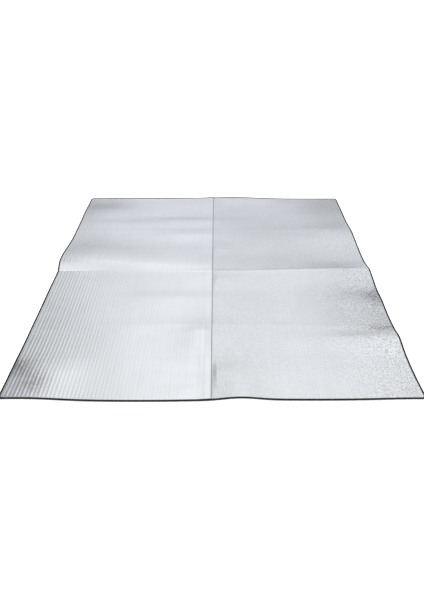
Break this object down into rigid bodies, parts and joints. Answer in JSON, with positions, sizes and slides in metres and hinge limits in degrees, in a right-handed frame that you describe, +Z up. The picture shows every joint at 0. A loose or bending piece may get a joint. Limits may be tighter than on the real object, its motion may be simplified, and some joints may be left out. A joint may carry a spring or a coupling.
{
  "type": "foam sleeping pad",
  "caption": "Thin square folding sleeping pad: closed-cell foam faced with silver film on both sides, black sewn edge, lapped middle seam, accordion creases.",
  "frame": {"origin": "on the floor under the middle of the sheet", "axes": "+X to the right along the creases, +Y to the back along the lap seam, +Z up"},
  "size_m": [2, 1.992, 0.0334],
  "materials": {
    "foam": "closed-cell foam, matt",
    "foil": "aluminised film, crinkled, satin",
    "edge_tape": "woven polyester tape, sewn",
    "lap_bond": "hot-melt adhesive, hidden in the lap"
  },
  "bodies": {
    "row_1": {"right_foam_1": "foam", "right_foil_1": "foil", "right_tape_1": "edge_tape", "left_foam_1": "foam", "left_foil_1": "foil", "left_tape_1": "edge_tape", "lap_bond_1": "lap_bond"},
    "row_2": {"right_foam_2": "foam", "right_foil_2": "foil", "right_tape_2": "edge_tape", "left_foam_2": "foam", "left_foil_2": "foil", "left_tape_2": "edge_tape", "lap_bond_2": "lap_bond"},
    "row_3": {"right_foam_3": "foam", "right_foil_3": "foil", "right_tape_3": "edge_tape", "left_foam_3": "foam", "left_foil_3": "foil", "left_tape_3": "edge_tape", "lap_bond_3": "lap_bond"},
    "row_4": {"right_foam_4": "foam", "right_foil_4": "foil", "right_tape_4": "edge_tape", "left_foam_4": "foam", "left_foil_4": "foil", "left_tape_4": "edge_tape", "lap_bond_4": "lap_bond"},
    "row_5": {"right_foam_5": "foam", "right_foil_5": "foil", "right_tape_5": "edge_tape", "left_foam_5": "foam", "left_foil_5": "foil", "left_tape_5": "edge_tape", "lap_bond_5": "lap_bond"},
    "row_6": {"right_foam_6": "foam", "right_foil_6": "foil", "right_tape_6": "edge_tape", "left_foam_6": "foam", "left_foil_6": "foil", "left_tape_6": "edge_tape", "lap_bond_6": "lap_bond"},
    "row_7": {"right_foam_7": "foam", "right_foil_7": "foil", "right_tape_7": "edge_tape", "left_foam_7": "foam", "left_foil_7": "foil", "left_tape_7": "edge_tape", "lap_bond_7": "lap_bond"},
    "row_8": {"right_foam_8": "foam", "right_foil_8": "foil", "right_tape_8": "edge_tape", "left_foam_8": "foam", "left_foil_8": "foil", "left_tape_8": "edge_tape", "lap_bond_8": "lap_bond"}
  },
  "joints": [
    {"name": "crease_1", "type": "hinge", "parent": "row_1", "child": "row_2", "pos_m": [0, -0.74602, 0.00375], "axis": [1, 0, 0], "range_deg": [0, 173.11]},
    {"name": "crease_2", "type": "hinge", "parent": "row_2", "child": "row_3", "pos_m": [0, -0.49735, 0.02978], "axis": [-1, 0, 0], "range_deg": [0, 166.22]},
    {"name": "crease_3", "type": "hinge", "parent": "row_3", "child": "row_4", "pos_m": [0, -0.24867, 0.00375], "axis": [1, 0, 0], "range_deg": [0, 166.22]},
    {"name": "crease_4", "type": "hinge", "parent": "row_4", "child": "row_5", "pos_m": [0, 0, 0.02978], "axis": [-1, 0, 0], "range_deg": [0, 166.22]},
    {"name": "crease_5", "type": "hinge", "parent": "row_5", "child": "row_6", "pos_m": [0, 0.24867, 0.00375], "axis": [1, 0, 0], "range_deg": [0, 166.22]},
    {"name": "crease_6", "type": "hinge", "parent": "row_6", "child": "row_7", "pos_m": [0, 0.49735, 0.02978], "axis": [-1, 0, 0], "range_deg": [0, 166.22]},
    {"name": "crease_7", "type": "hinge", "parent": "row_7", "child": "row_8", "pos_m": [0, 0.74602, 0.00375], "axis": [1, 0, 0], "range_deg": [0, 173.11]}
  ],
  "couplings": [
    {"joint": "crease_1", "follows": "crease_4", "ratio": 1.0415},
    {"joint": "crease_2", "follows": "crease_4", "ratio": 1},
    {"joint": "crease_3", "follows": "crease_4", "ratio": 1},
    {"joint": "crease_5", "follows": "crease_4", "ratio": 1},
    {"joint": "crease_6", "follows": "crease_4", "ratio": 1},
    {"joint": "crease_7", "follows": "crease_4", "ratio": 1.0415}
  ]
}
